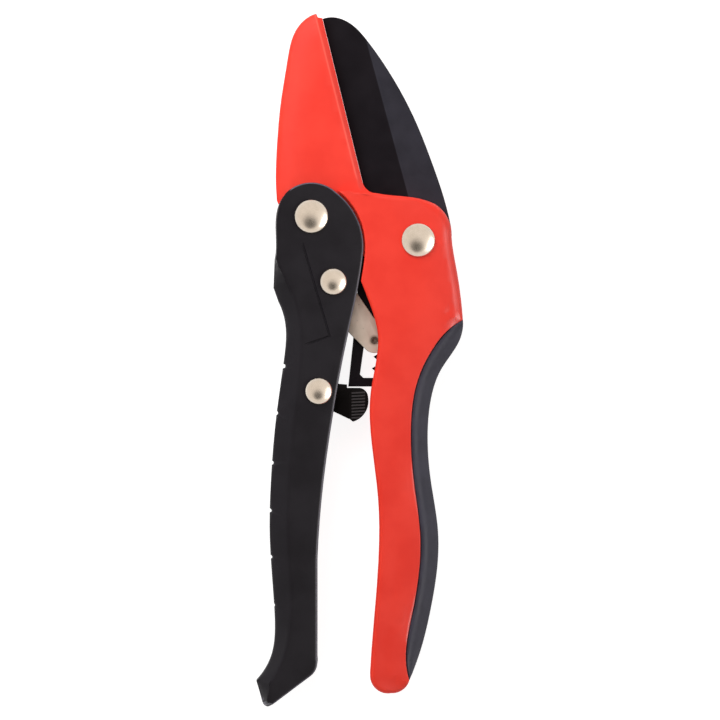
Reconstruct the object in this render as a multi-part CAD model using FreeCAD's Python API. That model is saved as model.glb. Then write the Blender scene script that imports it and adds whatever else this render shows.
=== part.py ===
import FreeCAD, Part
import math
import os

# Ratchet anvil pruning shears, closed and lying on their back faces. All sizes in mm.
# X runs to the right, Y along the tool towards the blade's tip, Z up along the pivots.
# The origin is the blade pivot's axis where it meets the plane of the back faces.

# Thickness, back to front
THICKNESS = 17.0
MID = THICKNESS / 2
WEB_HALF = 5.0              # anvil and the web between the handle's cheeks
CHEEK_INSIDE = 5.2          # inner face of each handle cheek, from the middle plane
STRIP_HALF = 4.6            # handle's outer edge, below its sloped strip
GRIP_HALF = 7.9
BLADE_HALF = 1.5
SLOT_HALF = 2.1             # blade slot in the head
LINK_INSIDE = 1.7
LINK_OUTSIDE = 3.5
LINK_GROOVE_HALF = 3.9
LATCH_LOW = -4.9
LATCH_HIGH = 4.2
PAD_HALF = 6.4
LATCH_HUB_RADIUS = 4.5

# Pivot centres
BLADE_PIVOT = (0.0, 0.0)
HANDLE_PIVOT = (-31.6, 7.0)
LINK_PIVOT = (-25.1, -12.3)
LATCH_PIVOT = (-29.4, -44.7)
RATCHET_PIN = (-12.9, -29.7)

# Rivets: a domed half with the shank, and a cap sunk in the back
BIG_HEAD_RADIUS = 5.0
BIG_SHANK_RADIUS = 2.9
SMALL_HEAD_RADIUS = 4.0
SMALL_SHANK_RADIUS = 2.3
HEAD_RIM = 0.4
HEAD_HEIGHT = 2.0
CAP_SINK = 1.5              # depth of the counterbore that takes the cap
CAP_GAP = 0.15              # cap's face below the back face
COUNTERBORE_LESS = 0.2      # a counterbore's radius under its rivet head's
CAP_LESS = 0.35             # a cap's radius under its rivet head's
SPIGOT_RADIUS = 1.5
SPIGOT_LENGTH = 0.8
RUNNING = 0.05              # radial clearance where a part turns on a pin or a bush
SEATED = 0.02               # radial clearance where a part is held

# Bushes, washers and spacers
BLADE_BUSH_RADIUS = 4.4
HANDLE_BUSH_RADIUS = 4.2
WASHER_THICKNESS = 0.5
BLADE_WASHER_RADIUS = 7.6
LINK_WASHER_RADIUS = 3.8
LINK_SPACER_RADIUS = 2.9
LINK_SPACER_HALF = 1.65
LATCH_WASHER_RADIUS = 4.0
WASHER_GAP = 0.1            # room along the pivot on a washer's loose side
WASHER_SEAT_GAP = 0.05

# Springs
RETURN_WIRE = 0.6           # wire radius
RETURN_COIL = 5.3           # coil's mean radius
RETURN_TURNS = 3
LINK_WIRE = 0.4
LINK_COIL = 3.55
LINK_TURNS = 3
LEG_LESS = 0.06             # a leg's radius under its coil's wire radius
RETURN_LEG_LEVEL = 1.2      # its legs' distance from the middle plane
RETURN_FIXED_LEG = 10.8     # leg in the web
RETURN_MOVING_LEG = 15.6    # leg on the handle's spine
LINK_LEG_LEVEL = 0.8
LINK_SPINE_LEG = 12.2
LINK_SHORT_LEG = 6.0
COIL_INSIDE = 0.7           # a coil's flat inner wall, in wire radii inside its mean radius
SPRING_POCKET_RADIUS = 7.2
SPRING_POCKET_HALF = 2.6
LEG_ROOM = 1.0              # half the width of a slot for a spring's leg
LEG_END_ROOM = 0.4

# Ratchet
PIN_RADIUS = 1.0
PIN_PROUD = 0.1             # its staked ends past the link plates
TOOTH_TIPS = [(-12.0, -31.4), (-13.2, -34.5), (-13.7, -38.0)]
TOOTH_UPPER_FLANKS = [2.2, 3.3, 2.9]
TOOTH_LOWER_FLANKS = [2.2, 3.0, 3.2]
UPPER_FLANK_WAY = (0.84, 0.53)      # from a tooth's tip back to its root
LOWER_FLANK_WAY = (0.76, -0.65)

# Handle's finger nicks along the outer edge: edge position and depth
NICK_CENTRES = [
    (-40.0, -37.3), (-42.2, -51.2), (-43.5, -66.0), (-44.1, -80.2), (-43.9, -94.0), (-43.1, -108.3),
]
NICK_RADIUS = 0.65

# Thumb pad ribs
RIB_COUNT = 9
RIB_PITCH = 0.92
RIB_WIDTH = 0.45
RIB_HEIGHT = 0.4
RIB_TOP = -45.1
RIB_LEFT = -19.7
RIB_RIGHT = -15.7
RIB_TILT = 0.25
SUNK = 0.1                  # a rib's foot below the pad's face

BIG = 60.0                  # reach of a cutting solid past the object


def edge_run(points):
    """A straight edge through two points, an arc through three, a smooth curve through more."""
    places = [FreeCAD.Vector(x, y, 0) for x, y in points]
    if len(places) == 2:
        return Part.LineSegment(places[0], places[1]).toShape()
    if len(places) == 3:
        return Part.Arc(places[0], places[1], places[2]).toShape()
    curve = Part.BSplineCurve()
    curve.interpolate(places)
    return curve.toShape()


def outline(start, runs):
    """A closed wire: each run goes on from the last one's end, and a line closes it."""
    edges = []
    place = start
    for run in runs:
        edges.append(edge_run([place] + run))
        place = run[-1]
    if place != start:
        edges.append(edge_run([place, start]))
    return Part.Wire(edges)


def slab(wire, low, high):
    """The wire's area from low to high, both measured from the middle plane."""
    solid = Part.Face(wire).extrude(FreeCAD.Vector(0, 0, high - low))
    solid.translate(FreeCAD.Vector(0, 0, MID + low))
    return solid


def polygon(points, low, high):
    """A straight-sided slab."""
    return slab(outline(points[0], [[point] for point in points[1:]]), low, high)


def rod(centre, radius, low, high):
    """A round bar along Z, from low to high above the back plane."""
    base = FreeCAD.Vector(centre[0], centre[1], low)
    return Part.makeCylinder(radius, high - low, base)


def ring(centre, inner, outer, low, high):
    """A washer or bush."""
    return rod(centre, outer, low, high).cut(rod(centre, inner, low, high))


def write(shape, node):
    """One closed solid to its own file."""
    clean = shape.removeSplitter()
    if clean.ShapeType == "Compound" and len(clean.Solids) == 1:
        clean = clean.Solids[0]
    clean.exportStep("parts/" + node + ".step")
    print(node, len(clean.Solids), clean.isValid(), round(clean.Volume, 1))


# ---- Outlines that two parts share ------------------------------------------------------

# Seam between the red handle and its soft grip, from the top down
GRIP_TOP = (13.3, -23.7)
GRIP_SEAM = [
    (8.9, -26.6), (4.1, -32.6), (1.0, -38.5), (-0.9, -44.4), (-2.1, -55.0), (-1.9, -65.0),
    (-0.5, -77.0), (0.7, -88.8), (0.0, -100.6), (-2.1, -112.5), (-3.6, -121.5), (-2.6, -130.4),
]

# Cutting line: the anvil's working face
ANVIL_TOP = (-28.4, 66.0)
ANVIL_FOOT = (-16.6, 17.8)
EDGE_GAP = 0.08             # closed blade off the anvil
GRIND_TOP = (-18.9, 72.6)   # line where the blade's grind starts, past the blade at both ends
GRIND_FOOT = (-2.8, 13.0)
GRIND_WIDTH = 14.0
GRIND_DEPTH = 1.45          # on each side, at the grind's full width


def head_and_handle():
    """The full-thickness part of the body: the head and the right handle."""
    wire = outline((-16.9, -12.1), [
        [(-16.3, -8.5), (-15.7, -3.0), (-16.3, 3.2), (-18.9, 9.4), (-23.8, 14.5)],
        [(-12.5, 13.9)],
        [(-3.6, 12.9), (1.3, 12.1), (4.9, 10.8)],
        [(8.3, 7.5), (9.9, 3.0)],
        [(10.2, -1.5), (11.5, -8.9), (12.8, -17.8), GRIP_TOP],
        GRIP_SEAM,
        [(-4.5, -133.2), (-8.0, -134.2)],
        [(-12.6, -132.8), (-14.2, -128.5)],
        [(-13.0, -112.5), (-11.7, -95.0), (-11.8, -77.0), (-13.5, -62.2), (-14.3, -52.5), (-13.4, -41.4)],
        [(-12.1, -34.0), (-11.8, -29.0), (-12.9, -23.0), (-16.9, -12.1)],
    ])
    return slab(wire, -MID, MID)


def anvil_and_web():
    """The thinner part of the body: the anvil, and the web that the handle's cheeks straddle."""
    x, y = HANDLE_PIVOT
    wire = outline((-41.9, 11.8), [
        [(-42.2, 17.8), (-41.8, 29.6), (-40.7, 41.4), (-38.8, 53.3), (-36.4, 62.2), (-33.5, 65.7),
         (-30.2, 67.3)],
        [(-29.7, 66.2)],
        [ANVIL_TOP],
        [ANVIL_FOOT],
        [(-15.2, 15.2), (-12.5, 13.9)],
        [(-12.5, -6.0)],
        [(-16.5, -4.5)],
        [(x + 6.17, y - 7.35)],
        [(x, y - 9.6), (x - 9.27, y + 2.48)],
    ])
    return slab(wire, -WEB_HALF, WEB_HALF)


def body_slots():
    """Room in the head and in the right handle for the blade, its tang and the links."""
    blade_slot = polygon([
        (-17.3, 18.5), (14.5, 18.5), (14.5, -4.0), (10.0, -6.5), (5.6, -12.5), (-1.9, -27.0), (-3.9, -34.0),
        (-4.0, -45.5), (-26.0, -45.5), (-26.0, -12.0), (-22.5, -4.0), (-16.9, 4.0), (-16.2, 9.0),
    ], -SLOT_HALF, SLOT_HALF)
    link_groove = polygon([
        (-20.0, -10.5), (-12.6, -17.5), (-8.6, -23.5), (-8.0, -30.0), (-9.2, -34.0), (-12.0, -36.3),
        (-20.0, -36.3),
    ], -LINK_GROOVE_HALF, LINK_GROOVE_HALF)
    return blade_slot.fuse(link_groove)


def return_spring_room():
    """Pocket round the handle pivot, with ways out for the spring's two legs."""
    x, y = HANDLE_PIVOT
    pocket = rod(HANDLE_PIVOT, SPRING_POCKET_RADIUS, MID - SPRING_POCKET_HALF, MID + SPRING_POCKET_HALF)
    near, far = y + RETURN_COIL - LEG_ROOM, y + RETURN_COIL + LEG_ROOM
    end = x + RETURN_FIXED_LEG + LEG_END_ROOM
    fixed_leg = polygon([(x, near), (end, near), (end, far), (x, far)],
                        RETURN_LEG_LEVEL - LEG_ROOM, RETURN_LEG_LEVEL + LEG_ROOM)
    right = x - RETURN_COIL + LEG_ROOM
    moving_leg = polygon([(right, y), (right, y - BIG), (x - BIG, y - BIG), (x - BIG, y)],
                         -RETURN_LEG_LEVEL - LEG_ROOM, -RETURN_LEG_LEVEL + LEG_ROOM)
    return pocket.fuse([fixed_leg, moving_leg])


def anvil_body():
    """Cast body: anvil, head and right handle in one piece."""
    body = head_and_handle().fuse(anvil_and_web())
    holes = [
        body_slots(),
        return_spring_room(),
        rod(BLADE_PIVOT, BIG_SHANK_RADIUS + SEATED, -1, THICKNESS + 1),
        rod(BLADE_PIVOT, BIG_HEAD_RADIUS - COUNTERBORE_LESS, -1, CAP_SINK),
        rod(HANDLE_PIVOT, HANDLE_BUSH_RADIUS + SEATED, -1, THICKNESS + 1),
    ]
    return body.cut(holes)


def right_grip():
    """Soft grip bonded to the outer side of the right handle."""
    wire = outline(GRIP_TOP, [
        GRIP_SEAM,
        [(0.9, -121.4), (3.8, -109.5), (5.7, -97.7), (6.0, -86.5), (3.8, -71.0), (2.9, -59.2), (3.9, -47.0),
         (6.8, -38.5), (12.4, -29.6), GRIP_TOP],
    ])
    return slab(wire, -GRIP_HALF, GRIP_HALF)


# ---- Left handle ------------------------------------------------------------------------

def handle_wire(upper, knee, lower, toe):
    """Handle's outline; its outer edge and toe differ between the edge and the flat face."""
    return outline((-29.9, -124.0), [
        [(-29.9, -95.0)],
        [(-28.0, -71.0), (-25.1, -50.8), (-21.8, -32.6), (-18.3, -16.5), (-16.2, -3.0)],
        [(-16.8, 3.0), (-19.4, 8.9), (-24.2, 14.1)],
        [(-31.6, 17.05), (-39.1, 14.0)],
        upper,
        knee[:1],
        knee[1:],
        lower,
        toe[:1],
        toe[1:],
        [(-31.6, -128.9)],
        [(-30.4, -127.4), (-29.9, -124.0)],
    ])


def handle_blank():
    """The handle's outer form: a straight-sided core, and a sloped strip on each face."""
    edge = handle_wire(
        [(-41.9, 8.9), (-42.25, 1.0), (-42.55, -5.5)],
        [(-42.9, -14.1), (-41.4, -18.3)],
        [(-39.2, -26.6), (-39.8, -35.5), (-42.2, -53.3), (-43.7, -72.0), (-44.0, -88.0), (-42.6, -110.0),
         (-43.1, -121.4), (-48.0, -130.7)],
        [(-46.1, -136.9), (-45.4, -138.1), (-43.6, -137.9)])
    face = handle_wire(
        [(-41.5, 8.9), (-41.85, 1.0), (-42.1, -5.5)],
        [(-38.6, -12.6), (-36.9, -16.6)],
        [(-34.8, -25.0), (-34.6, -35.5), (-36.6, -53.3), (-38.2, -72.0), (-38.5, -88.0), (-37.6, -110.0),
         (-39.2, -121.4), (-43.8, -131.5)],
        [(-44.7, -136.2), (-44.2, -137.2), (-42.9, -137.4)])
    blank = slab(edge, -STRIP_HALF, STRIP_HALF)
    for side in (-1, 1):
        low = edge.copy()
        low.translate(FreeCAD.Vector(0, 0, MID + side * STRIP_HALF))
        high = face.copy()
        high.translate(FreeCAD.Vector(0, 0, MID + side * MID))
        blank = blank.fuse(Part.makeLoft([low, high], True, True))
    return blank


def handle_channel():
    """Channel between the cheeks, open towards the right handle and round the pivot lobe."""
    return polygon([
        (-BIG, 30.0), (-BIG, -5.0), (-38.5, -5.0), (-39.3, -13.5), (-36.6, -21.0), (-35.6, -29.0),
        (-38.2, -47.0), (-39.8, -66.0), (-40.4, -82.0), (-39.6, -102.0), (-38.6, -116.0), (-34.0, -119.0),
        (-10.0, -119.0), (-10.0, 30.0),
    ], -CHEEK_INSIDE, CHEEK_INSIDE)


def left_handle():
    """Cast lever: two cheeks and an outer spine, with nicks for the fingers."""
    handle = handle_blank().cut(handle_channel())
    holes = [rod(centre, NICK_RADIUS, -1, THICKNESS + 1) for centre in NICK_CENTRES]
    holes.append(rod(HANDLE_PIVOT, BIG_SHANK_RADIUS + SEATED, -1, THICKNESS + 1))
    holes.append(rod(HANDLE_PIVOT, BIG_HEAD_RADIUS - COUNTERBORE_LESS, -1, CAP_SINK))
    for centre in (LINK_PIVOT, LATCH_PIVOT):
        holes.append(rod(centre, SMALL_SHANK_RADIUS + SEATED, -1, THICKNESS + 1))
        holes.append(rod(centre, SMALL_HEAD_RADIUS - COUNTERBORE_LESS, -1, CAP_SINK))
    return handle.cut(holes)


# ---- Blade and ratchet ------------------------------------------------------------------

def offset_from_anvil(place):
    """A point of the cutting line, moved off the anvil by the closed gap."""
    run = FreeCAD.Vector(ANVIL_FOOT[0] - ANVIL_TOP[0], ANVIL_FOOT[1] - ANVIL_TOP[1], 0)
    run.normalize()
    return (place[0] - run.y * EDGE_GAP, place[1] + run.x * EDGE_GAP)


def blade_plate():
    """Blade and tang in one plate; the tang reaches down between the links to the latch."""
    tip = offset_from_anvil(ANVIL_TOP)
    foot = offset_from_anvil(ANVIL_FOOT)
    wire = outline(tip, [
        [(-25.2, 66.5), (-21.2, 65.3), (-14.9, 59.3), (-6.9, 47.5), (-0.7, 35.6), (4.0, 23.8), (8.0, 11.9),
         (9.9, 4.0)],
        [(10.0, 0.0), (8.6, -5.0)],
        [(4.5, -12.0)],
        [(-2.9, -27.0)],
        [(-4.8, -34.0)],
        [(-5.0, -43.4)],
        [(-20.7, -43.4)],
        [(-19.2, -29.1)],
        [(-17.7, -12.0)],
        [(-17.3, -8.0)],
        [(-16.4, -4.5)],
        [(-14.4, -1.5)],
        [(-13.2, 5.0)],
        [(-14.4, 9.1)],
        [foot],
    ])
    return slab(wire, -BLADE_HALF, BLADE_HALF)


def blade_grind(side):
    """Wedge taken off one side, from the grind line down to the thin cutting edge."""
    line_top = FreeCAD.Vector(GRIND_TOP[0], GRIND_TOP[1], 0)
    line_foot = FreeCAD.Vector(GRIND_FOOT[0], GRIND_FOOT[1], 0)
    run = line_foot - line_top
    length = run.Length
    run.normalize()
    out = FreeCAD.Vector(run.y, -run.x, 0)      # towards the cutting edge
    far = line_top + out * GRIND_WIDTH
    corners = [
        line_top + FreeCAD.Vector(0, 0, MID + side * BLADE_HALF),
        far + FreeCAD.Vector(0, 0, MID + side * (BLADE_HALF - GRIND_DEPTH)),
        far + FreeCAD.Vector(0, 0, MID + side * (BLADE_HALF + 1)),
        line_top + FreeCAD.Vector(0, 0, MID + side * (BLADE_HALF + 1)),
    ]
    return Part.Face(Part.makePolygon(corners + corners[:1])).extrude(run * length)


def ratchet_window():
    """Window in the tang: its right side is the row of teeth that the ratchet pin climbs."""
    corners = [(-15.4, -27.0), (-11.6, -27.0), (-10.6, -28.6)]
    for tip, upper, lower in zip(TOOTH_TIPS, TOOTH_UPPER_FLANKS, TOOTH_LOWER_FLANKS):
        corners.append((tip[0] + UPPER_FLANK_WAY[0] * upper, tip[1] + UPPER_FLANK_WAY[1] * upper))
        corners.append(tip)
        corners.append((tip[0] + LOWER_FLANK_WAY[0] * lower, tip[1] + LOWER_FLANK_WAY[1] * lower))
    corners += [(-11.3, -40.8), (-16.2, -40.8), (-17.2, -39.8), (-16.1, -32.0)]
    return polygon(corners, -BLADE_HALF - 1, BLADE_HALF + 1)


def blade():
    """Coated steel blade with its ratchet tang."""
    plate = blade_plate()
    for side in (-1, 1):
        plate = plate.cut(blade_grind(side))
    plate = plate.cut(ratchet_window())
    return plate.cut(rod(BLADE_PIVOT, BLADE_BUSH_RADIUS + RUNNING, 0, THICKNESS))


def along_link(reach, offset):
    """A point reach mm from the link pivot towards the pin, offset mm to the upper right."""
    dx = RATCHET_PIN[0] - LINK_PIVOT[0]
    dy = RATCHET_PIN[1] - LINK_PIVOT[1]
    length = math.hypot(dx, dy)
    x = LINK_PIVOT[0] + (dx * reach - dy * offset) / length
    y = LINK_PIVOT[1] + (dy * reach + dx * offset) / length
    return (x, y)


def link_plate(side):
    """One of the two plates that carry the ratchet pin."""
    length = math.dist(LINK_PIVOT, RATCHET_PIN)
    wire = outline(along_link(0.0, 3.9), [
        [along_link(length, 3.65)],
        [along_link(length + 3.7, 0.0), along_link(length, -3.75)],
        [along_link(15.3, -4.85)],
        [along_link(0.0, -4.6)],
        [along_link(-4.3, 0.0), along_link(0.0, 3.9)],
    ])
    low, high = sorted((side * LINK_INSIDE, side * LINK_OUTSIDE))
    plate = slab(wire, low, high)
    plate = plate.cut(rod(LINK_PIVOT, SMALL_SHANK_RADIUS + RUNNING, 0, THICKNESS))
    return plate.cut(rod(RATCHET_PIN, PIN_RADIUS + SEATED, 0, THICKNESS))


def ratchet_pin():
    """Hardened pin staked in both link plates."""
    half = LINK_OUTSIDE + PIN_PROUD
    return rod(RATCHET_PIN, PIN_RADIUS, MID - half, MID + half)


# ---- Thumb latch ------------------------------------------------------------------------

def thumb_latch():
    """Latch: a hub between the cheeks, an arm with a seat for the tang's corner, a ribbed pad."""
    x, y = LATCH_PIVOT
    hub = rod(LATCH_PIVOT, LATCH_HUB_RADIUS, MID + LATCH_LOW, MID + LATCH_HIGH)
    arm = polygon([
        (x + 0.5, y + 4.45), (-23.4, -42.6), (-21.05, -42.8), (-21.05, -43.8), (-18.0, -43.8), (-18.0, -52.0),
        (-20.5, -53.0), (-25.1, -50.8), (x + 0.5, y - 4.45),
    ], LATCH_LOW, LATCH_HIGH)
    pad_wire = outline((-20.4, -46.3), [
        [(-17.6, -43.8), (-14.8, -46.4)],
        [(-14.75, -48.6), (-15.4, -50.6)],
        [(-17.0, -52.6), (-19.3, -53.8)],
        [(-20.4, -52.9)],
    ])
    latch = hub.fuse([arm, slab(pad_wire, -PAD_HALF, PAD_HALF)])
    rib_room = slab(pad_wire, PAD_HALF - SUNK, PAD_HALF + RIB_HEIGHT)
    for count in range(RIB_COUNT):
        top = RIB_TOP - count * RIB_PITCH
        foot = top - RIB_WIDTH
        ridge = [(RIB_LEFT, top), (RIB_RIGHT, top + RIB_TILT), (RIB_RIGHT, foot + RIB_TILT), (RIB_LEFT, foot)]
        latch = latch.fuse(polygon(ridge, PAD_HALF - SUNK, PAD_HALF + RIB_HEIGHT).common(rib_room))
    return latch.cut(rod(LATCH_PIVOT, SMALL_SHANK_RADIUS + RUNNING, 0, THICKNESS))


# ---- Rivets, bushes, washers and springs ------------------------------------------------

def rivet(centre, head_radius, shank_radius):
    """Domed half of a two-piece rivet: head on the front face, shank, and spigot for the cap."""
    dome_height = HEAD_HEIGHT - HEAD_RIM
    ball_radius = (head_radius ** 2 + dome_height ** 2) / (2 * dome_height)
    top = THICKNESS + HEAD_HEIGHT
    ball = Part.makeSphere(ball_radius, FreeCAD.Vector(centre[0], centre[1], top - ball_radius))
    head = rod(centre, head_radius, THICKNESS, top).common(ball)
    shank = rod(centre, shank_radius, CAP_SINK, THICKNESS)
    spigot = rod(centre, SPIGOT_RADIUS, CAP_SINK - SPIGOT_LENGTH, CAP_SINK)
    return head.fuse([shank, spigot])


def rivet_cap(centre, head_radius):
    """Cap sunk in the back face, pressed on the rivet's spigot."""
    cap = rod(centre, head_radius - CAP_LESS, CAP_GAP, CAP_SINK)
    socket = rod(centre, SPIGOT_RADIUS + SEATED, CAP_SINK - SPIGOT_LENGTH, CAP_SINK)
    return cap.cut(socket)


def coil(centre, mean_radius, wire_radius, turns):
    """A close-wound coil as one ring whose outer wall has a round for each turn."""
    x, y = centre
    half = turns * wire_radius
    inner = mean_radius - COIL_INSIDE * wire_radius
    edges = []
    for turn in range(turns):
        low = MID - half + 2 * wire_radius * turn
        start = FreeCAD.Vector(x + mean_radius, y, low)
        crest = FreeCAD.Vector(x + mean_radius + wire_radius, y, low + wire_radius)
        end = FreeCAD.Vector(x + mean_radius, y, low + 2 * wire_radius)
        edges.append(Part.Arc(start, crest, end).toShape())
    corners = [
        FreeCAD.Vector(x + mean_radius, y, MID + half),
        FreeCAD.Vector(x + inner, y, MID + half),
        FreeCAD.Vector(x + inner, y, MID - half),
        FreeCAD.Vector(x + mean_radius, y, MID - half),
    ]
    for first, second in zip(corners, corners[1:]):
        edges.append(Part.LineSegment(first, second).toShape())
    face = Part.Face(Part.Wire(edges))
    return face.revolve(FreeCAD.Vector(x, y, 0), FreeCAD.Vector(0, 0, 1), 360)


def leg(start, end, height, radius):
    """A spring's straight leg at a height from the middle plane."""
    base = FreeCAD.Vector(start[0], start[1], MID + height)
    run = FreeCAD.Vector(end[0] - start[0], end[1] - start[1], 0)
    return Part.makeCylinder(radius - LEG_LESS, run.Length, base, run)


def return_spring():
    """Torsion spring on the handle pivot: one leg in the web, one on the handle's spine."""
    x, y = HANDLE_PIVOT
    top, left = y + RETURN_COIL, x - RETURN_COIL
    fixed = leg((x, top), (x + RETURN_FIXED_LEG, top), RETURN_LEG_LEVEL, RETURN_WIRE)
    moving = leg((left, y), (left, y - RETURN_MOVING_LEG), -RETURN_LEG_LEVEL, RETURN_WIRE)
    return coil(HANDLE_PIVOT, RETURN_COIL, RETURN_WIRE, RETURN_TURNS).fuse([fixed, moving])


def link_spring():
    """Small torsion spring between the link plates: it turns the pin into the teeth."""
    x, y = LINK_PIVOT
    foot = y - LINK_COIL
    spine_leg = leg((x, foot), (x - LINK_SPINE_LEG, foot), -LINK_LEG_LEVEL, LINK_WIRE)
    start, end = along_link(0.0, LINK_COIL), along_link(LINK_SHORT_LEG, LINK_COIL)
    link_leg = leg(start, end, LINK_LEG_LEVEL, LINK_WIRE)
    return coil(LINK_PIVOT, LINK_COIL, LINK_WIRE, LINK_TURNS).fuse([spine_leg, link_leg])


os.makedirs("parts", exist_ok=True)

write(anvil_body(), "anvil_body")
write(right_grip(), "right_grip")
write(left_handle(), "left_handle")
write(blade(), "blade")
write(thumb_latch(), "thumb_latch")
write(ratchet_pin(), "ratchet_pin")
write(return_spring(), "return_spring")
write(link_spring(), "link_spring")

for place, side in (("front", 1), ("back", -1)):
    write(link_plate(side), "link_plate_" + place)
    middle = MID + side * (BLADE_HALF + SLOT_HALF) / 2
    low, high = middle - WASHER_THICKNESS / 2, middle + WASHER_THICKNESS / 2
    washer = ring(BLADE_PIVOT, BLADE_BUSH_RADIUS + SEATED, BLADE_WASHER_RADIUS, low, high)
    write(washer, "blade_washer_" + place)
    inner, outer = LINK_OUTSIDE + WASHER_GAP, CHEEK_INSIDE - WASHER_SEAT_GAP
    low, high = sorted((MID + side * inner, MID + side * outer))
    washer = ring(LINK_PIVOT, SMALL_SHANK_RADIUS + SEATED, LINK_WASHER_RADIUS, low, high)
    write(washer, "link_washer_" + place)

half = SLOT_HALF - SEATED
bush = ring(BLADE_PIVOT, BIG_SHANK_RADIUS + SEATED, BLADE_BUSH_RADIUS, MID - half, MID + half)
write(bush, "blade_bush")
half = CHEEK_INSIDE - 2 * SEATED
bush = ring(HANDLE_PIVOT, BIG_SHANK_RADIUS + RUNNING, HANDLE_BUSH_RADIUS, MID - half, MID + half)
write(bush, "handle_bush")
low, high = MID - LINK_SPACER_HALF, MID + LINK_SPACER_HALF
write(ring(LINK_PIVOT, SMALL_SHANK_RADIUS + RUNNING, LINK_SPACER_RADIUS, low, high), "link_spacer")
low, high = MID + LATCH_HIGH + WASHER_GAP, MID + CHEEK_INSIDE - WASHER_GAP
write(ring(LATCH_PIVOT, SMALL_SHANK_RADIUS + SEATED, LATCH_WASHER_RADIUS, low, high), "latch_washer")

for node, centre, head, shank in (
        ("blade_rivet", BLADE_PIVOT, BIG_HEAD_RADIUS, BIG_SHANK_RADIUS),
        ("handle_rivet", HANDLE_PIVOT, BIG_HEAD_RADIUS, BIG_SHANK_RADIUS),
        ("link_rivet", LINK_PIVOT, SMALL_HEAD_RADIUS, SMALL_SHANK_RADIUS),
        ("latch_rivet", LATCH_PIVOT, SMALL_HEAD_RADIUS, SMALL_SHANK_RADIUS)):
    write(rivet(centre, head, shank), node)
    write(rivet_cap(centre, head), node + "_cap")
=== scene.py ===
import bmesh
import bpy
import contextlib
import math
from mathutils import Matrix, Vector
from mathutils.kdtree import KDTree


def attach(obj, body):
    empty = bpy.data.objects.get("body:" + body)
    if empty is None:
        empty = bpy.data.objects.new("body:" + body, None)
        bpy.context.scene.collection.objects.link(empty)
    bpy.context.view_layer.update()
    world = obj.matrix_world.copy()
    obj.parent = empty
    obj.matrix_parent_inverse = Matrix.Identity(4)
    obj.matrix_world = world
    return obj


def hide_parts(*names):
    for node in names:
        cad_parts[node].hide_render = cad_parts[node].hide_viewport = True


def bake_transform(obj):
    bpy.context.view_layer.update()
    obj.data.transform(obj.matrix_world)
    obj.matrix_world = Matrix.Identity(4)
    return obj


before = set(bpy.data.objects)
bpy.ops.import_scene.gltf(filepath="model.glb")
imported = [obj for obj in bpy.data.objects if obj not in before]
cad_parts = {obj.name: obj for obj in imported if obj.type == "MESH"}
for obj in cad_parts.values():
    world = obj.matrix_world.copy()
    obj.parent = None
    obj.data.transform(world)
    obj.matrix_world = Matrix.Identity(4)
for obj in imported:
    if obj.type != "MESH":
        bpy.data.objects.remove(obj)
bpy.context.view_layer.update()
bpy.ops.object.select_all(action="DESELECT")

# ---- Red body ---------------------------------------------------------------------------
# One aluminium die casting: the anvil, the head that the blade turns in, and the right handle.
# Its faces fall away towards soft edges, and it is powder coated in a satin red.

MM = 0.001
THICKNESS = 17.0                    # of the head and the handles, in mm from here on
MIDDLE = THICKNESS / 2
FACE_HEIGHT = MIDDLE                # of the broad faces, from the middle plane
WEB_HEIGHT = 5.0                    # of the anvil and of the web beside it
WALL_FOOT = 5.5                     # the walls are shaped from here up to the broad faces

RIVET_ROOM = 5.5                    # the broad faces aren't rounded round the blade's rivet
EDGE_ROUNDING = 1.0
CHEEK_ROUNDING = 0.35               # beside the black handle's cheek, which starts between
CHEEK_X = (-11.0, -12.0)            # these places, going left and going up
CHEEK_Y = (-14.0, -12.0)
SEAM_ROUNDING = 0.12                # where the soft grip meets the metal
SEAM_REACH = 4.0                    # the rounding is whole this far from the grip
STRIP_WIDTH = 2.2                   # broad chamfer down the head's right side, which starts
STRIP_SLOPE = 0.42                  # between these places, going right and going up
STRIP_X = (0.0, 5.0)
STRIP_Y = (-27.0, -24.0)
FACE_FALL = 0.75                    # how far the broad faces drop towards the right
FACE_FALL_WIDTH = 10.0
GRIP_FALL = 0.35                    # share of that drop that is left beside the grip

WEB_LINE = 8.0                      # the anvil's shaping stops here, under the handle's cheek
ANVIL_START = 20.0                  # nothing but the anvil is past this
ANVIL_ROUNDING = 0.5
ANVIL_BACK = -33.0                  # the anvil thins towards its outer edge, left of here
ANVIL_BACK_WIDTH = 7.0
ANVIL_BACK_FALL = 1.5
RIDGE_TOP = Vector((-30.2, 65.8))   # anvil's ridge, beside the cutting line
RIDGE_FOOT = Vector((-18.0, 17.6))
RIDGE_SLOPE = 0.62
RIDGE_Y = (12.0, 16.0)              # it starts between these, going up
RIDGE_HALF = 0.35                   # half the width of its rounded crest
CREST_SLOPE = 0.12
EDGE_HIGHLIGHT = 0.8                           # how strong the painted highlight is along crisp edges
# painted highlight along the anvil's ridge: its half width, and where it starts going up
RIDGE_HIGHLIGHT_HALF = 0.4
RIDGE_HIGHLIGHT_Y = (17.0, 20.0)


def only(thing):
    """Selects one object and nothing else."""
    bpy.ops.object.select_all(action="DESELECT")
    thing.select_set(True)
    bpy.context.view_layer.objects.active = thing


def copy_of(node, name):
    """A copy of a CAD node's mesh as a new piece, its loose triangles merged."""
    piece = bpy.data.objects.new(name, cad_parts[node].data.copy())
    bpy.context.collection.objects.link(piece)
    piece.data.materials.clear()
    only(piece)
    bpy.ops.mesh.customdata_custom_splitnormals_clear()
    bpy.ops.object.mode_set(mode="EDIT")
    bpy.ops.mesh.select_mode(type="FACE")
    bpy.ops.mesh.select_all(action="SELECT")
    bpy.ops.mesh.remove_doubles(threshold=0.002 * MM)
    return piece


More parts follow.
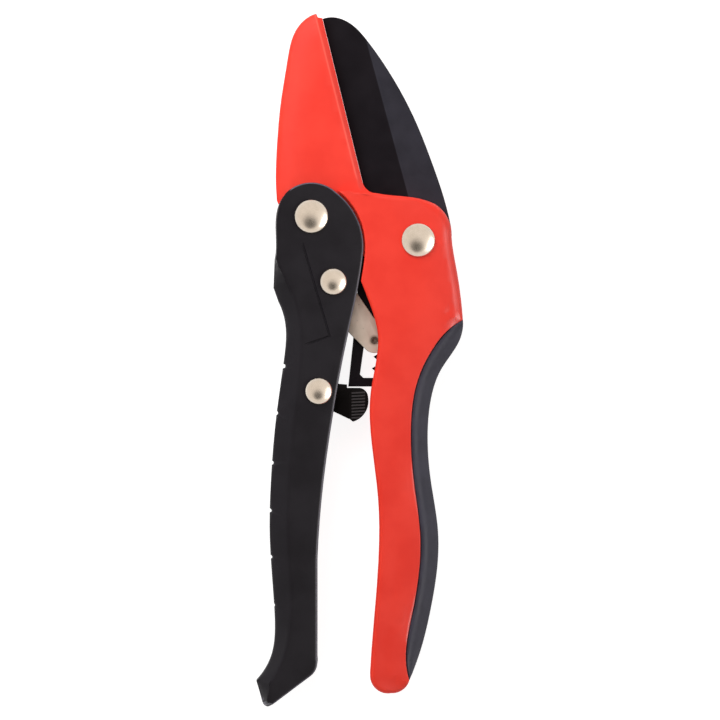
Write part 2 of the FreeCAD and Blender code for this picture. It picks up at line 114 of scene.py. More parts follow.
def pick_faces(test):
    """Selects the faces that pass the test and nothing else. The test gets centre in mm and normal."""
    bpy.ops.mesh.select_mode(type="FACE")
    bpy.ops.mesh.select_all(action="DESELECT")
    mesh = bmesh.from_edit_mesh(bpy.context.edit_object.data)
    for face in mesh.faces:
        if test(face.calc_center_median() / MM, face.normal):
            face.select_set(True)
    bmesh.update_edit_mesh(bpy.context.edit_object.data)


def facing(side, height):
    """A test for the flat faces at a height in mm from the middle plane, on one side of it."""
    def test(centre, normal):
        return side * normal.z > 0.9 and abs(side * (centre.z - MIDDLE) - height) < 0.05
    return test


def tree_of(points):
    """A search tree for the nearest of some flat points."""
    tree = KDTree(len(points))
    for index, point in enumerate(points):
        tree.insert((point[0], point[1], 0), index)
    tree.balance()
    return tree


def rim_points(flat=False, spacing=0.05):
    """Points close along the rim of the picked faces, in mm, each with how far the face beyond
    looks to the right. They lie along walls, or with flat along faces that go on nearly level."""
    mesh = bmesh.from_edit_mesh(bpy.context.edit_object.data)
    points = []
    for edge in mesh.edges:
        walls = [face for face in edge.link_faces if not face.select]
        if len(walls) != 1 or (abs(walls[0].normal.z) > 0.9) != flat:
            continue
        start, end = (vert.co / MM for vert in edge.verts)
        count = max(1, round((end - start).length / spacing))
        for step in range(count):
            place = start.lerp(end, step / count)
            points.append((place.x, place.y, walls[0].normal.x))
    return points


def rings(steps):
    """Edge loops round the picked faces, each one step further in, in mm."""
    for step in steps:
        bpy.ops.mesh.inset(thickness=step * MM, depth=0, use_even_offset=False)


@contextlib.contextmanager
def rest_hidden():
    """Hides all but the picked faces, so that the cuts made meanwhile stay inside them."""
    bpy.ops.mesh.hide(unselected=True)
    yield
    bpy.ops.mesh.reveal(select=False)


def cut(place, way):
    """A straight cut, place in mm, across all the faces that aren't hidden."""
    bpy.ops.mesh.select_all(action="SELECT")
    bpy.ops.mesh.bisect(plane_co=place * MM, plane_no=way)


def grid_lines(spacing):
    """Straight cuts across the faces that aren't hidden, both ways, so that they can be crowned."""
    mesh = bmesh.from_edit_mesh(bpy.context.edit_object.data)
    corners = [vert.co / MM for vert in mesh.verts if not vert.hide]
    for axis in (0, 1):
        across = Vector((axis == 0, axis == 1, 0))
        low = min(corner[axis] for corner in corners)
        high = max(corner[axis] for corner in corners)
        for line in range(1, int((high - low) / spacing) + 1):
            cut(across * (low + line * spacing), across)


def lower(side, drop, highlight_of=None, foot=None, start=-1000.0):
    """Moves the picked faces towards the middle plane, by a depth in mm worked out for each place.
    The highlight test, if given, says how much painted highlight each place gets, which the finish reads.
    Foot, if given, is a height from the middle plane, and walls above it are squeezed along, where y is
    past start."""
    mesh = bmesh.from_edit_mesh(bpy.context.edit_object.data)
    # how much painted highlight the finish puts at each vertex
    painted_highlight = mesh.verts.layers.float.get("painted_highlight") or mesh.verts.layers.float.new("painted_highlight")
    shares = {vert: 1.0 for face in mesh.faces if face.select for vert in face.verts}
    if foot is not None:
        top = max(side * (vert.co.z / MM - MIDDLE) for vert in shares)
        for vert in mesh.verts:
            height = side * (vert.co.z / MM - MIDDLE)
            if height > foot and vert.co.y / MM > start:
                shares.setdefault(vert, (height - foot) / (top - foot))
    for vert, share in shares.items():
        x, y = vert.co.x / MM, vert.co.y / MM
        vert.co.z -= side * share * drop(x, y) * MM
        if highlight_of:
            vert[painted_highlight] = highlight_of(x, y)
    bmesh.update_edit_mesh(bpy.context.edit_object.data)


def rounded(distance, radius):
    """Drop of a rounded edge at a distance in from it, a little less than the radius at its rim."""
    return 0.8 * radius * max(0.0, 1 - distance / radius) ** 2


def eased(value, low, high):
    """0 up to low, 1 from high on, and a smooth rise between. High may be the smaller one."""
    share = min(1.0, max(0.0, (value - low) / (high - low)))
    return share * share * (3 - 2 * share)


def finish_piece(piece, angle=32, flats=False):
    """Leaves edit mode and smooths all but the crisp edges. With flats, broad faces stay flat."""
    bpy.ops.object.mode_set(mode="OBJECT")
    only(piece)
    bpy.ops.object.shade_smooth_by_angle(angle=math.radians(angle))
    if flats:
        weighted = piece.modifiers.new("flats", "WEIGHTED_NORMAL")
        weighted.keep_sharp = True
        bpy.ops.object.modifier_apply(modifier="flats")


class Shade:
    """A socket in a material, with arithmetic that adds Math nodes."""

    def __init__(self, tree, socket=None):
        self.tree = tree
        self.socket = socket

    def node(self, kind, settings=None, sockets=None, output=0):
        """Adds a node: its settings first, then the values or links of its sockets."""
        made = self.tree.nodes.new(kind)
        for name, value in (settings or {}).items():
            setattr(made, name, value)
        for name, value in (sockets or {}).items():
            if isinstance(value, Shade):
                self.tree.links.new(value.socket, made.inputs[name])
            else:
                made.inputs[name].default_value = value
        return Shade(self.tree, made.outputs[output])

    def calculate(self, operation, first, second):
        return self.node("ShaderNodeMath", {"operation": operation}, {0: first, 1: second})

    def __add__(self, other):
        return self.calculate("ADD", self, other)

    def __radd__(self, other):
        return self.calculate("ADD", other, self)

    def __sub__(self, other):
        return self.calculate("SUBTRACT", self, other)

    def __rsub__(self, other):
        return self.calculate("SUBTRACT", other, self)

    def __mul__(self, other):
        return self.calculate("MULTIPLY", self, other)

    def __rmul__(self, other):
        return self.calculate("MULTIPLY", other, self)

    def noise(self, scale, detail):
        """Soft blotches, scale to the metre, from 0 to 1."""
        return self.node("ShaderNodeTexNoise", None, {"Vector": self, "Scale": scale, "Detail": detail})

    def vector_maths(self, operation, other, output="Vector"):
        return self.node("ShaderNodeVectorMath", {"operation": operation}, {0: self, 1: other}, output)

    def between(self, low, high):
        """0 where this is under low, 1 over high, and a smooth rise between."""
        return self.node("ShaderNodeMapRange", {"interpolation_type": "SMOOTHSTEP"},
                         {"Value": self, "From Min": low, "From Max": high})

    def blend_colours(self, first, second):
        """The first colour where this is 0, the second where it is 1."""
        return self.node("ShaderNodeMix", {"data_type": "RGBA"},
                         {"Factor": self, 6: first, 7: second}, output=2)

    def bump(self, distance, strength, under=None):
        """A surface relief, its height in mm, over another relief if one is given."""
        sockets = {"Height": self, "Distance": distance * MM, "Strength": strength}
        if under:
            sockets["Normal"] = under
        return self.node("ShaderNodeBump", None, sockets)

    def stretched(self, size, turn=(0, 0, 0)):
        """The same coordinates, scaled and turned."""
        return self.node("ShaderNodeMapping", None, {"Vector": self, "Scale": size, "Rotation": turn})


def new_finish(name):
    """A new material with no nodes but its Object coordinates."""
    finish = bpy.data.materials.new(name)
    finish.use_nodes = True
    finish.node_tree.nodes.clear()
    return finish, Shade(finish.node_tree).node("ShaderNodeTexCoord", output="Object")


def surface(finish, place, sockets):
    """The shader itself, with these values and links."""
    shader = place.node("ShaderNodeBsdfPrincipled", None, sockets)
    end = place.tree.nodes.new("ShaderNodeOutputMaterial")
    place.tree.links.new(shader.socket, end.inputs["Surface"])
    return finish


def dress(thing, finish):
    """Gives a piece or a CAD node its finish."""
    thing.data.materials.clear()
    thing.data.materials.append(finish)


def colour(red, green, blue):
    """A colour as a shader wants it, from its 0 to 255 screen values."""
    return tuple((part / 255) ** 2.2 for part in (red, green, blue)) + (1.0,)


def powder_coat(name, low, high, highlight_colour, roughness, grain, gloss):
    """Baked powder: slightly uneven colour and gloss over a fine orange peel, with a painted highlight
    along crisp edges.
    """
    finish, place = new_finish(name)
    cloud = place.noise(90.0, 3.0).between(0.3, 0.7)
    peel = place.noise(1500.0, 2.0)
    dust = place.noise(6000.0, 1.0)
    # painted highlight: a pale colour along crisp edges, where they catch the light
    painted_highlight = place.node("ShaderNodeAttribute", {"attribute_name": "painted_highlight"}, output="Fac")
    relief = dust.bump(0.01, 0.35, under=peel.bump(grain, 0.5))
    coat = cloud.blend_colours(low, high)
    return surface(finish, place, {
        "Base Color": (painted_highlight * (0.7 + 0.5 * dust)).blend_colours(coat, highlight_colour),
        "Roughness": roughness + 0.07 * cloud + 0.05 * dust - 0.12 * painted_highlight,
        "Specular IOR Level": gloss,
        "Normal": relief,
    })


# its third colour is the painted highlight along the anvil's ridge
red_coat = powder_coat("red_powder_coat", colour(225, 52, 38), colour(232, 58, 43),
                       colour(250, 100, 86), 0.36, 0.03, 0.3)

anvil = copy_of("anvil_body", "red_body")
for side in (1, -1):
    on_head = facing(side, FACE_HEIGHT)
    on_web = facing(side, WEB_HEIGHT)

    def on_anvil(centre, normal):
        return on_web(centre, normal) and centre.y > WEB_LINE

    pick_faces(on_head)
    rim = [point for point in rim_points() if math.hypot(point[0], point[1]) > RIVET_ROOM]
    rim_tree = tree_of(rim)
    right_tree = tree_of([point for point in rim if point[2] > 0.3])
    grip_tree = tree_of([vert.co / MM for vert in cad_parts["right_grip"].data.vertices])
    rings((0.12, 0.2, 0.3, 0.4, 0.6, 0.6))
    with rest_hidden():
        grid_lines(spacing=1.5)
    pick_faces(on_head)

    def head_drop(x, y):
        nearest, _, distance = rim_tree.find((x, y, 0))
        off_grip = eased(grip_tree.find(nearest)[2], 0.0, SEAM_REACH)
        by_cheek = eased(nearest.x, *CHEEK_X) * eased(nearest.y, *CHEEK_Y)
        radius = EDGE_ROUNDING + by_cheek * (CHEEK_ROUNDING - EDGE_ROUNDING)
        radius = SEAM_ROUNDING + off_grip * (radius - SEAM_ROUNDING)
        strip = eased(nearest.x, *STRIP_X) * eased(nearest.y, *STRIP_Y)
        strip_drop = strip * STRIP_SLOPE * max(0.0, STRIP_WIDTH - distance)
        fall = max(0.0, 1 - right_tree.find((x, y, 0))[2] / FACE_FALL_WIDTH)
        fall_drop = FACE_FALL * fall ** 2 * (GRIP_FALL + (1 - GRIP_FALL) * off_grip)
        return rounded(distance, radius) + strip_drop + fall_drop

    lower(side, head_drop, foot=WALL_FOOT)
    pick_faces(on_web)
    with rest_hidden():
        cut(Vector((0, WEB_LINE, 0)), (0, 1, 0))
    pick_faces(on_anvil)
    outline = rim_points()
    outline_tree = tree_of(outline)
    back_tree = tree_of([point for point in outline if point[0] < ANVIL_BACK and point[2] < -0.2])
    rings((0.12, 0.2, 0.3))
    along = (RIDGE_FOOT - RIDGE_TOP).normalized()
    out = Vector((-along.y, along.x))
    with rest_hidden():
        for offset in (-RIDGE_HALF, 0.0, RIDGE_HALF):
            cut((RIDGE_TOP + out * offset).to_3d(), out.to_3d())
        grid_lines(spacing=2.0)
    pick_faces(on_anvil)

    def past_ridge(x, y):
        return (Vector((x, y)) - RIDGE_TOP).dot(out)

    # painted highlight along the anvil's ridge crest, fading in going up
    def ridge_highlight(x, y):
        return EDGE_HIGHLIGHT * max(0.0, 1 - abs(past_ridge(x, y)) / RIDGE_HIGHLIGHT_HALF) * eased(y, *RIDGE_HIGHLIGHT_Y)

    def anvil_drop(x, y):
        past = past_ridge(x, y)
        crest = CREST_SLOPE * max(0.0, RIDGE_HALF - abs(past))
        slope = RIDGE_SLOPE * (max(0.0, past) + crest) * eased(y, *RIDGE_Y)
        back = max(0.0, 1 - back_tree.find((x, y, 0))[2] / ANVIL_BACK_WIDTH)
        edge = 0.0
        if past < 0 and y > ANVIL_START:
            edge = rounded(outline_tree.find((x, y, 0))[2], ANVIL_ROUNDING)
        return slope + ANVIL_BACK_FALL * back ** 2 + edge

    lower(side, anvil_drop, ridge_highlight, foot=0.0, start=ANVIL_START)
finish_piece(anvil)
dress(anvil, red_coat)
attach(anvil, "body")
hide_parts("anvil_body")

# ---- Soft grip --------------------------------------------------------------------------
# A soft thermoplastic rubber moulded onto the outer side of the right handle.
# It is flush with the metal along the seam and rounds right over to the side.

GRIP_HEIGHT = 7.9
GRIP_ROUNDING = 5.8
GRIP_SEAM_DIP = 0.7
GRIP_REACH = 4.0                    # the rounding is whole this far from the seam

grip = copy_of("right_grip", "soft_grip")
for side in (1, -1):
    on_grip = facing(side, GRIP_HEIGHT)
    pick_faces(on_grip)
    rim = rim_points()
    seam_tree = tree_of([point for point in rim if point[2] < 0])
    outer_tree = tree_of([point for point in rim if point[2] >= 0])
    rings((0.1, 0.15, 0.25, 0.4))
    with rest_hidden():
        grid_lines(spacing=1.0)
    pick_faces(on_grip)

    def grip_drop(x, y):
        seam = seam_tree.find((x, y, 0))[2]
        outer = outer_tree.find((x, y, 0))[2]
        return rounded(seam, GRIP_SEAM_DIP) + rounded(outer, GRIP_ROUNDING) * eased(seam, 0.0, GRIP_REACH)

    lower(side, grip_drop, foot=0.0)
finish_piece(grip, 40)

finish, place = new_finish("soft_rubber")
rubber_cloud = place.noise(140.0, 3.0).between(0.3, 0.7)
rubber_grain = place.noise(3800.0, 2.0)
rubber = surface(finish, place, {
    "Base Color": rubber_cloud.blend_colours(colour(56, 55, 65), colour(64, 63, 74)),
    "Roughness": 0.52 + 0.1 * rubber_cloud,
    "Specular IOR Level": 0.12,
    "Normal": rubber_grain.bump(0.03, 0.5),
})
dress(grip, rubber)
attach(grip, "body")
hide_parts("right_grip")

# ---- Blade ------------------------------------------------------------------------------
# A flat steel blade with a non-stick black coat. One plate makes the wedge-ground blade and
# the tang, whose window has the ratchet's teeth. It turns on a bush between two washers.

PLATE_ROUNDING = 0.3
BACK_WAY = Vector((0.96, 0.27))             # only the plate's back is rounded, which starts
BACK_START = (-12.2, -10.2)                 # between these, going this way
GRIND_FOOT = Vector((-2.8, 13.0, 0))        # the line where the wedge grind starts
GRIND_TOP = Vector((-17.6, 67.8, 0))
grind_run = (GRIND_FOOT - GRIND_TOP).normalized()
grind_out = Vector((grind_run.y, -grind_run.x, 0))


def pick_edges(test):
    """Selects the edges that pass the test and nothing else. The test gets the edge."""
    bpy.ops.mesh.select_mode(type="EDGE")
    bpy.ops.mesh.select_all(action="DESELECT")
    mesh = bmesh.from_edit_mesh(bpy.context.edit_object.data)
    for edge in mesh.edges:
        if test(edge):
            edge.select_set(True)
    bmesh.update_edit_mesh(bpy.context.edit_object.data)


def on_grind_line(vert):
    return abs((vert.co / MM - GRIND_FOOT).dot(grind_out)) < 0.05


blade = copy_of("blade", "blade_plate")
for side in (1, -1):
    def on_blade(centre, normal):
        return side * normal.z > 0.8 and side * (centre.z - MIDDLE) > 0.02

    pick_faces(on_blade)
    rim_tree = tree_of(rim_points())
    rings((0.1, 0.15, 0.2))
    with rest_hidden():
        grid_lines(spacing=4.0)
    pick_faces(on_blade)

    def plate_drop(x, y):
        at_back = eased(Vector((x, y)).dot(BACK_WAY), *BACK_START)
        return at_back * rounded(rim_tree.find((x, y, 0))[2], PLATE_ROUNDING)

    lower(side, plate_drop)
pick_edges(lambda edge: all(on_grind_line(vert) for vert in edge.verts))
bpy.ops.mesh.mark_sharp()
finish_piece(blade, flats=True)

finish, place = new_finish("black_blade_coat")
blade_cloud = place.noise(120.0, 4.0).between(0.25, 0.75)
grind_lines = place.stretched((60.0, 900.0, 60.0), (0, 0, math.radians(-15))).noise(2.0, 3.0)
past_grind = place.vector_maths("DOT_PRODUCT", grind_out, "Value") - grind_out.dot(GRIND_FOOT) * MM
ground = past_grind.between(-0.15 * MM, 0.15 * MM)
# painted shade on the ground facet: it gets a darker copy of the same coat
flat_coat = blade_cloud.blend_colours(colour(42, 41, 47), colour(50, 49, 56))
ground_facet_painted_shade = blade_cloud.blend_colours(colour(22, 19, 23), colour(28, 25, 29))
blade_coat = surface(finish, place, {
    "Base Color": ground.blend_colours(flat_coat, ground_facet_painted_shade),
    "Roughness": 0.36 + 0.1 * grind_lines,
    "Specular IOR Level": 0.08,
    "Normal": (grind_lines * ground).bump(0.01, 0.5),
})
dress(blade, blade_coat)
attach(blade, "blade")
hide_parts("blade")

finish, place = new_finish("bush_brass")
brass_lines = place.stretched((200.0, 200.0, 4000.0)).noise(1.0, 3.0)
brass = surface(finish, place, {
    "Base Color": brass_lines.blend_colours(colour(176, 138, 72), colour(205, 168, 98)),
    "Metallic": 1.0,
    "Roughness": 0.28 + 0.15 * brass_lines,
    "Normal": brass_lines.bump(0.01, 0.4),
})
for node in ("blade_bush", "handle_bush"):
    dress(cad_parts[node], brass)

finish, place = new_finish("washer_nylon")
nylon_cloud = place.noise(700.0, 3.0)
nylon = surface(finish, place, {
    "Base Color": nylon_cloud.blend_colours(colour(176, 172, 162), colour(198, 195, 186)),
    "Roughness": 0.45 + 0.1 * nylon_cloud,
    "Normal": nylon_cloud.bump(0.02, 0.3),
})
for node in ("blade_washer_front", "blade_washer_back", "link_washer_front", "link_washer_back",
             "latch_washer"):
    dress(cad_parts[node], nylon)

# ---- Left handle ------------------------------------------------------------------------
# A black powder-coated lever, cast as two cheeks and a spine that wrap round the body's web.
# Its outer sides slope, its inner edges have a fine chamfer, and its face has a blank name panel.

HANDLE_PIVOT = (-31.6, 7.0)
LINK_PIVOT = (-25.1, -12.3)
LATCH_PIVOT = (-29.4, -44.7)
HANDLE_RIVET_ROOM = 5.2             # the cheeks aren't rounded round their rivets
FLAT_FACING = 0.97                  # faces that look less straight out are the sloped sides
SLOPE_FOOT = 4.55                   # how far they come down, from the middle plane
OUTER_SIDE = -38.0                  # the outer side is left of here, or above the nose
NOSE = 12.0
HEEL = -136.0
CHAMFER = 0.5                       # of the inner edges
CHAMFER_SLOPE = 0.7
CHAMFER_HIGHLIGHT = (0.08, 0.3)           # how far in from the edge the painted highlight lies
NOSE_ROUNDING = 0.35                # of the outer edge, round the pivot's end
SIDE_ROUNDING = 0.9                 # and below it, from between these places
SIDE_Y = (-9.0, -15.0)
CREASE_WIDTH = 1.0                  # the flat face turns softly into the sloped side, from
CREASE_DROP = 0.14                  # between these places down
CREASE_Y = (-8.0, -13.0)
PANEL_CORNERS = [Vector((-33.8, -2.4)), Vector((-26.2, -28.4)), Vector((-32.6, -30.7))]
PANEL_LINES = list(zip(PANEL_CORNERS, PANEL_CORNERS[1:]))
LINE_HALF = 0.16
LINE_DEPTH = 0.3

handle = copy_of("left_handle", "black_handle")
for side in (1, -1):
    def on_flat(centre, normal):
        return side * normal.z > FLAT_FACING and side * (centre.z - MIDDLE) > FACE_HEIGHT - 0.1

    def on_slope(centre, normal):
        return 0.3 < side * normal.z <= FLAT_FACING and side * (centre.z - MIDDLE) > SLOPE_FOOT

    def on_handle(centre, normal):
        return on_flat(centre, normal) or on_slope(centre, normal)

    def off_rivets(point):
        pivots = (HANDLE_PIVOT, LINK_PIVOT, LATCH_PIVOT)
        return min(math.dist(point[:2], pivot) for pivot in pivots) > HANDLE_RIVET_ROOM

    panel_lines = PANEL_LINES if side == 1 else []
    pick_faces(on_handle)
    rim_tree = tree_of([point for point in rim_points() if off_rivets(point)])
    pick_faces(on_slope)
    crease_tree = tree_of(rim_points(flat=True))
    rings((0.15, 0.25, 0.3))
    pick_faces(on_flat)
    rings((0.15, 0.3, 0.3))
    with rest_hidden():
        grid_lines(spacing=4.0)
        for start, end in panel_lines:
            run = (end - start).normalized()
            across = Vector((-run.y, run.x))
            for offset in (-LINE_HALF * 2, -LINE_HALF, LINE_HALF, LINE_HALF * 2):
                cut((start + across * offset).to_3d(), across.to_3d())
            for corner in (start, end):
                cut(corner.to_3d(), run.to_3d())
    pick_faces(on_handle)

    def in_panel_line(x, y):
        for start, end in panel_lines:
            run = end - start
            place = Vector((x, y)) - start
            share = place.dot(run) / run.length_squared
            aside = abs(place.cross(run)) / run.length
            if -0.001 < share < 1.001 and aside < LINE_HALF * 1.2:
                return True
        return False

    def handle_drop(x, y):
        if in_panel_line(x, y):
            return LINE_DEPTH
        nearest, _, distance = rim_tree.find((x, y, 0))
        edge = CHAMFER_SLOPE * max(0.0, CHAMFER - distance)
        if nearest.x < OUTER_SIDE or nearest.y > NOSE:
            radius = NOSE_ROUNDING + eased(y, *SIDE_Y) * (SIDE_ROUNDING - NOSE_ROUNDING)
            edge = rounded(distance, radius)
        crease = max(0.0, 1 - crease_tree.find((x, y, 0))[2] / CREASE_WIDTH)
        return edge + CREASE_DROP * eased(y, *CREASE_Y) * crease ** 2

    # painted highlight in a thin line along the inner edges' chamfer
    def chamfer_highlight(x, y):
        nearest, _, distance = rim_tree.find((x, y, 0))
        inner = nearest.x > OUTER_SIDE or nearest.y < HEEL
        return EDGE_HIGHLIGHT * inner * (CHAMFER_HIGHLIGHT[0] < distance < CHAMFER_HIGHLIGHT[1])

    lower(side, handle_drop, chamfer_highlight)
finish_piece(handle, flats=True)
# its third colour is the painted highlight along the inner chamfer
black_coat = powder_coat("black_powder_coat", colour(25, 23, 27), colour(31, 29, 33),
                         colour(120, 116, 130), 0.46, 0.05, 0.14)
dress(handle, black_coat)
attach(handle, "handle")
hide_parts("left_handle")

# ---- Links and ratchet pin --------------------------------------------------------------
# Two stamped steel plates, zinc plated, straddle the tang and carry the hardened pin that
# climbs its teeth. The pin is staked flush in them, which leaves a dark dimple.

LINK_BEVEL = 0.2
PIN_PLACE = Vector((-12.9, -29.7, MIDDLE))
PIN_RADIUS = 1.0
PIN_HALF = 3.6
STAIN_RADIUS = 2.0                  # the staking leaves a dull ring round the pin
STAKING = ((0.12, 0.1), (0.25, -0.02), (0.15, -0.25), (0.2, -0.12))     # steps in and up

finish, place = new_finish("zinc_plate")
zinc_cloud = place.noise(260.0, 4.0).between(0.3, 0.75)
specks = place.noise(700.0, 1.0).between(0.73, 0.78)
plating = zinc_cloud.blend_colours(colour(184, 172, 157), colour(200, 189, 175))
speckled = specks.blend_colours(plating, colour(112, 100, 88))
beside_pin = place.vector_maths("SUBTRACT", PIN_PLACE * MM).vector_maths("MULTIPLY", (1, 1, 0))
pin_distance = beside_pin.node("ShaderNodeVectorMath", {"operation": "LENGTH"}, {0: beside_pin}, "Value")
stain = (1 - pin_distance.between(PIN_RADIUS * MM, STAIN_RADIUS * MM)) * 0.75
zinc = surface(finish, place, {
    "Base Color": stain.blend_colours(speckled, colour(120, 106, 92)),
    "Metallic": 0.25,
    "Roughness": 0.5 + 0.12 * zinc_cloud,
    "Normal": zinc_cloud.bump(0.02, 0.3),
})
for end in ("front", "back"):
    node = "link_plate_" + end
    plate = copy_of(node, "stamped_link_" + end)
    bpy.ops.mesh.dissolve_limited(angle_limit=math.radians(0.5))
    pick_edges(lambda edge: len(edge.link_faces) == 2 and edge.calc_face_angle() > math.radians(60))
    bpy.ops.mesh.bevel(offset=LINK_BEVEL * MM, segments=3, affect="EDGES", clamp_overlap=True)
    finish_piece(plate)
    dress(plate, zinc)
    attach(plate, "link")
    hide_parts(node)
dress(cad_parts["link_spacer"], zinc)

finish, place = new_finish("hardened_pin_steel")
pin_cloud = place.noise(1500.0, 3.0)
pin_steel = surface(finish, place, {
    "Base Color": pin_cloud.blend_colours(colour(92, 82, 72), colour(126, 116, 104)),
    "Metallic": 0.8,
    "Roughness": 0.4 + 0.15 * pin_cloud,
    "Normal": pin_cloud.bump(0.02, 0.4),
})
bpy.ops.mesh.primitive_cylinder_add(vertices=48, radius=PIN_RADIUS * MM, depth=2 * PIN_HALF * MM,
                                    location=PIN_PLACE * MM)
pin = bpy.context.object
pin.name = "staked_pin"
bpy.ops.object.transform_apply(location=True)
bpy.ops.object.mode_set(mode="EDIT")
for side in (1, -1):
    pick_faces(lambda centre, normal: side * normal.z > 0.9)
    for step, rise in STAKING:
        bpy.ops.mesh.inset(thickness=step * MM, depth=rise * MM)
finish_piece(pin)
dress(pin, pin_steel)
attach(pin, "link")
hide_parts("ratchet_pin")

# ---- Thumb latch ------------------------------------------------------------------------
# A moulded black latch that swings under the tang to lock the handles shut.
# Its thumb pad stands proud beside the handle and has cross ribs.

RIB_FOOT = MIDDLE + 6.4             # the pad's face, where its ribs start
RIB_HIGHLIGHT = (0.25, 0.38)             # painted highlight on their tops, between these heights above it
LATCH_BEVEL = 0.14

finish, place = new_finish("latch_plastic")
latch_cloud = place.noise(300.0, 3.0)
latch_grain = place.noise(4200.0, 1.0)
height = place.node("ShaderNodeSeparateXYZ", None, {0: place}, output="Z")
# painted highlight: a pale colour on the rib tops
rib_top_highlight = height.between((RIB_FOOT + RIB_HIGHLIGHT[0]) * MM, (RIB_FOOT + RIB_HIGHLIGHT[1]) * MM)
moulded = latch_cloud.blend_colours(colour(12, 10, 10), colour(18, 15, 15))
latch_plastic = surface(finish, place, {
    "Base Color": rib_top_highlight.blend_colours(moulded, colour(58, 55, 56)),
    "Roughness": 0.36 + 0.12 * latch_cloud,
    "Specular IOR Level": 0.07,
    "Normal": latch_grain.bump(0.015, 0.4),
})
latch = copy_of("thumb_latch", "ribbed_latch")
bpy.ops.mesh.dissolve_limited(angle_limit=math.radians(0.5))
pick_edges(lambda edge: len(edge.link_faces) == 2 and edge.calc_face_angle() > math.radians(40))
bpy.ops.mesh.bevel(offset=LATCH_BEVEL * MM, segments=2, affect="EDGES", clamp_overlap=True)
finish_piece(latch)
dress(latch, latch_plastic)
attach(latch, "latch")
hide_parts("thumb_latch")

# ---- Springs ----------------------------------------------------------------------------
# Two torsion springs of hard-drawn wire: one on the handle's pivot opens the handles, and a
# small one on the link's pivot keeps the pin in the teeth.

COIL_PITCH = 2.04                   # a turn's rise, in wire radii
COIL_STEPS = 8                      # to the radian

finish, place = new_finish("spring_wire")
wire_cloud = place.noise(900.0, 3.0)
wire = surface(finish, place, {
    "Base Color": wire_cloud.blend_colours(colour(150, 148, 144), colour(186, 184, 180)),
    "Metallic": 1.0,
    "Roughness": 0.3 + 0.15 * wire_cloud,
    "Normal": wire_cloud.bump(0.01, 0.3),
})


def torsion_spring(name, centre, mean_radius, wire_radius, first_angle, turn_angle, low_leg, high_leg):
    """A close-wound coil that rises as it turns, with a leg at each end, given by its run in mm."""
    rise = COIL_PITCH * wire_radius * abs(turn_angle) / (2 * math.pi)
    bpy.ops.mesh.primitive_circle_add(vertices=16, radius=wire_radius * MM,
                                      location=(mean_radius * MM, 0, 0), rotation=(math.pi / 2, 0, 0))
    spring = bpy.context.object
    spring.name = name
    bpy.ops.object.transform_apply(location=True, rotation=True)
    coil = spring.modifiers.new("coil", "SCREW")
    coil.angle = turn_angle
    coil.screw_offset = rise * MM
    coil.steps = coil.render_steps = int(COIL_STEPS * abs(turn_angle))
    bpy.ops.object.modifier_apply(modifier="coil")
    spring.rotation_euler.z = first_angle
    spring.location = Vector((centre[0], centre[1], MIDDLE - rise / 2)) * MM
    bpy.ops.object.transform_apply(location=True, rotation=True)
    for end, leg in ((-1, low_leg), (1, high_leg)):
        bpy.ops.object.mode_set(mode="EDIT")
        pick_edges(lambda edge: len(edge.link_faces) == 1
                   and end * (edge.verts[0].co.z / MM - MIDDLE) > 0)
        bpy.ops.mesh.extrude_edges_move(TRANSFORM_OT_translate={"value": Vector(leg + (0,)) * MM})
        bpy.ops.mesh.edge_face_add()
    bpy.ops.mesh.select_all(action="SELECT")
    bpy.ops.mesh.normals_make_consistent(inside=False)
    finish_piece(spring)
    dress(spring, wire)
    return spring


opener = torsion_spring("handle_opening_spring", HANDLE_PIVOT, mean_radius=5.3, wire_radius=0.6,
                        first_angle=math.radians(180), turn_angle=math.radians(-810),
                        low_leg=(0, -15.6), high_leg=(10.8, 0))
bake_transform(opener)
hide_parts("return_spring")
closer = torsion_spring("pin_closing_spring", LINK_PIVOT, mean_radius=3.55, wire_radius=0.4,
                        first_angle=math.radians(-90), turn_angle=math.radians(1025),
                        low_leg=(-12.2, 0), high_leg=(3.44, -4.91))
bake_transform(closer)
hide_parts("link_spring")

# ---- Rivets -----------------------------------------------------------------------------
# Bright nickel-plated rivets in two halves: a domed head with the shank on the front, and a
# cap pressed on from the back, sunk in its counterbore.

HEAD_HEIGHT = 2.0
RIM_HEIGHT = 0.45
DOME_STEPS = 12
SHANK_FOOT = 1.5                    # height of the shank's end, inside the cap
RIVETS = (                          # name, body, place, head radius, shank radius
    ("blade", "body", (0.0, 0.0), 5.0, 2.9),
    ("handle", "handle", HANDLE_PIVOT, 5.0, 2.9),
    ("link", "handle", LINK_PIVOT, 4.0, 2.3),
    ("latch", "handle", LATCH_PIVOT, 4.0, 2.3),
)

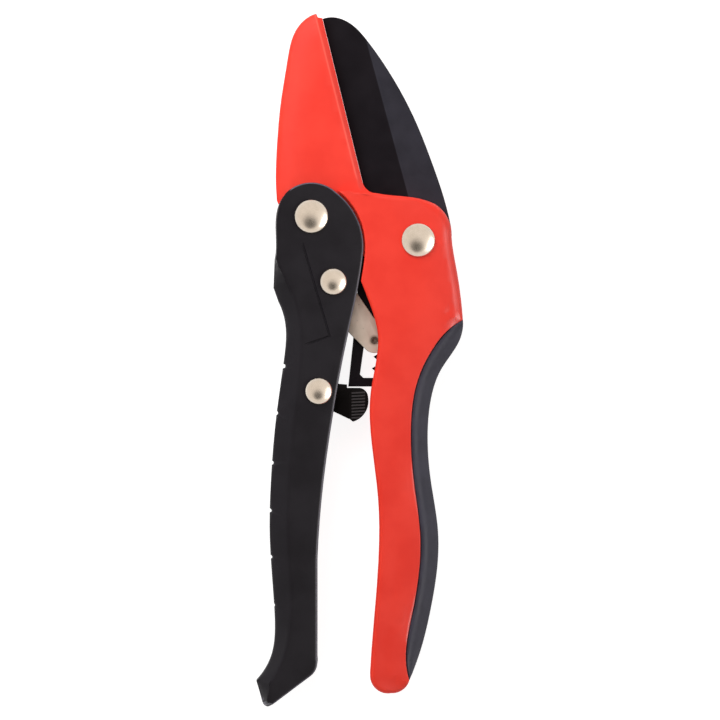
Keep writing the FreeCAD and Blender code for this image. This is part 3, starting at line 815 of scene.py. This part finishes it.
finish, place = new_finish("bright_nickel")
nickel_cloud = place.noise(500.0, 3.0)
nickel_haze = place.noise(2600.0, 2.0)
nickel = surface(finish, place, {
    "Base Color": nickel_cloud.blend_colours(colour(206, 196, 180), colour(226, 217, 203)),
    "Metallic": 1.0,
    "Roughness": 0.2 + 0.08 * nickel_haze,
    "Normal": nickel_haze.bump(0.006, 0.3),
})
arc = [math.pi / 2 * step / DOME_STEPS for step in range(DOME_STEPS)]
for name, body, spot, radius, shank in RIVETS:
    bpy.ops.mesh.primitive_cylinder_add(vertices=96, radius=radius * MM, depth=RIM_HEIGHT * MM,
                                        location=Vector(spot + (THICKNESS + RIM_HEIGHT / 2,)) * MM)
    rivet = bpy.context.object
    rivet.name = name + "_rivet_dome"
    bpy.ops.object.transform_apply(location=True)
    bpy.ops.object.mode_set(mode="EDIT")
    pick_faces(lambda centre, normal: normal.z > 0.9)
    for turn, next_turn in zip(arc, arc[1:]):
        inward = radius * (math.cos(turn) - math.cos(next_turn))
        rise = (HEAD_HEIGHT - RIM_HEIGHT) * (math.sin(next_turn) - math.sin(turn))
        bpy.ops.mesh.inset(thickness=inward * MM, depth=rise * MM)
    pick_faces(lambda centre, normal: normal.z < -0.9)
    bpy.ops.mesh.inset(thickness=(radius - shank) * MM, depth=0)
    down = (0, 0, (SHANK_FOOT - THICKNESS) * MM)
    bpy.ops.mesh.extrude_region_move(TRANSFORM_OT_translate={"value": down})
    finish_piece(rivet)
    dress(rivet, nickel)
    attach(rivet, body)
    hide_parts(name + "_rivet")
    dress(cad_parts[name + "_rivet_cap"], nickel)

# ---- Studio -----------------------------------------------------------------------------
# A white sweep, a soft tent of light all round, and a camera straight above the front faces.

CENTRE = Vector((-17.2, -35.5, THICKNESS))
LENS_WAY = Vector((-0.06, -0.29, 0.955)).normalized()   # the dark lens shows in the rivets
CAMERA_HEIGHT = 1500.0
VIEW_WIDTH = 213.1
SENSOR_WIDTH = 36.0

finish, place = new_finish("white_sweep")
paper = place.noise(40.0, 2.0)
sweep = surface(finish, place, {
    "Base Color": paper.blend_colours(colour(150, 150, 150), colour(154, 154, 154)),
    "Roughness": 0.9,
    "Emission Color": (1.0, 1.0, 1.0, 1.0),
    "Emission Strength": 0.9,
})
bpy.ops.mesh.primitive_plane_add(size=6.0, location=(0, 0, -0.05 * MM))
floor = bpy.context.object
floor.name = "floor"
floor.data.materials.append(sweep)

world = bpy.data.worlds.new("tent")
world.use_nodes = True
world.node_tree.nodes.clear()
direction = Shade(world.node_tree).node("ShaderNodeTexCoord", output="Generated")
toward_lens = direction.vector_maths("DOT_PRODUCT", LENS_WAY, "Value")
ragged = direction.noise(5.0, 2.0)
lens = (toward_lens + 0.06 * ragged).between(0.95, 1.02) * 0.97
upward = direction.node("ShaderNodeSeparateXYZ", None, {0: direction}, output="Z")
tent = upward.between(0.0, 0.9).blend_colours((0.68, 0.66, 0.66, 1), (0.66, 0.60, 0.56, 1))
sky = lens.blend_colours(tent, (0.04, 0.035, 0.03, 1))
shine = direction.node("ShaderNodeLightPath", output="Is Glossy Ray")
background = direction.node("ShaderNodeBackground", None, {"Color": sky, "Strength": 0.72 + 0.8 * shine})
world_output = world.node_tree.nodes.new("ShaderNodeOutputWorld")
world.node_tree.links.new(background.socket, world_output.inputs["Surface"])
bpy.context.scene.world = world

for name, offset, size, power in (
        ("top_panel", (-140, 240, 270), 360, 1.7), ("right_panel", (520, -130, 420), 300, 7.0)):
    bpy.ops.object.light_add(type="AREA", location=(CENTRE + Vector(offset)) * MM)
    lamp = bpy.context.object
    lamp.name = name
    lamp.data.shape = "SQUARE"
    lamp.data.size = size * MM
    lamp.data.energy = power
    lamp.visible_glossy = name == "right_panel"
    lamp.visible_diffuse = name == "top_panel"
    lamp.rotation_euler = (-Vector(offset)).to_track_quat("-Z", "Y").to_euler()

camera_data = bpy.data.cameras.new("camera")
camera = bpy.data.objects.new("camera", camera_data)
bpy.context.collection.objects.link(camera)
camera.location = (CENTRE + Vector((0, 0, CAMERA_HEIGHT))) * MM
camera_data.sensor_width = SENSOR_WIDTH
camera_data.lens = SENSOR_WIDTH * CAMERA_HEIGHT / VIEW_WIDTH
bpy.context.scene.camera = camera
bpy.context.scene.view_settings.view_transform = "Standard"
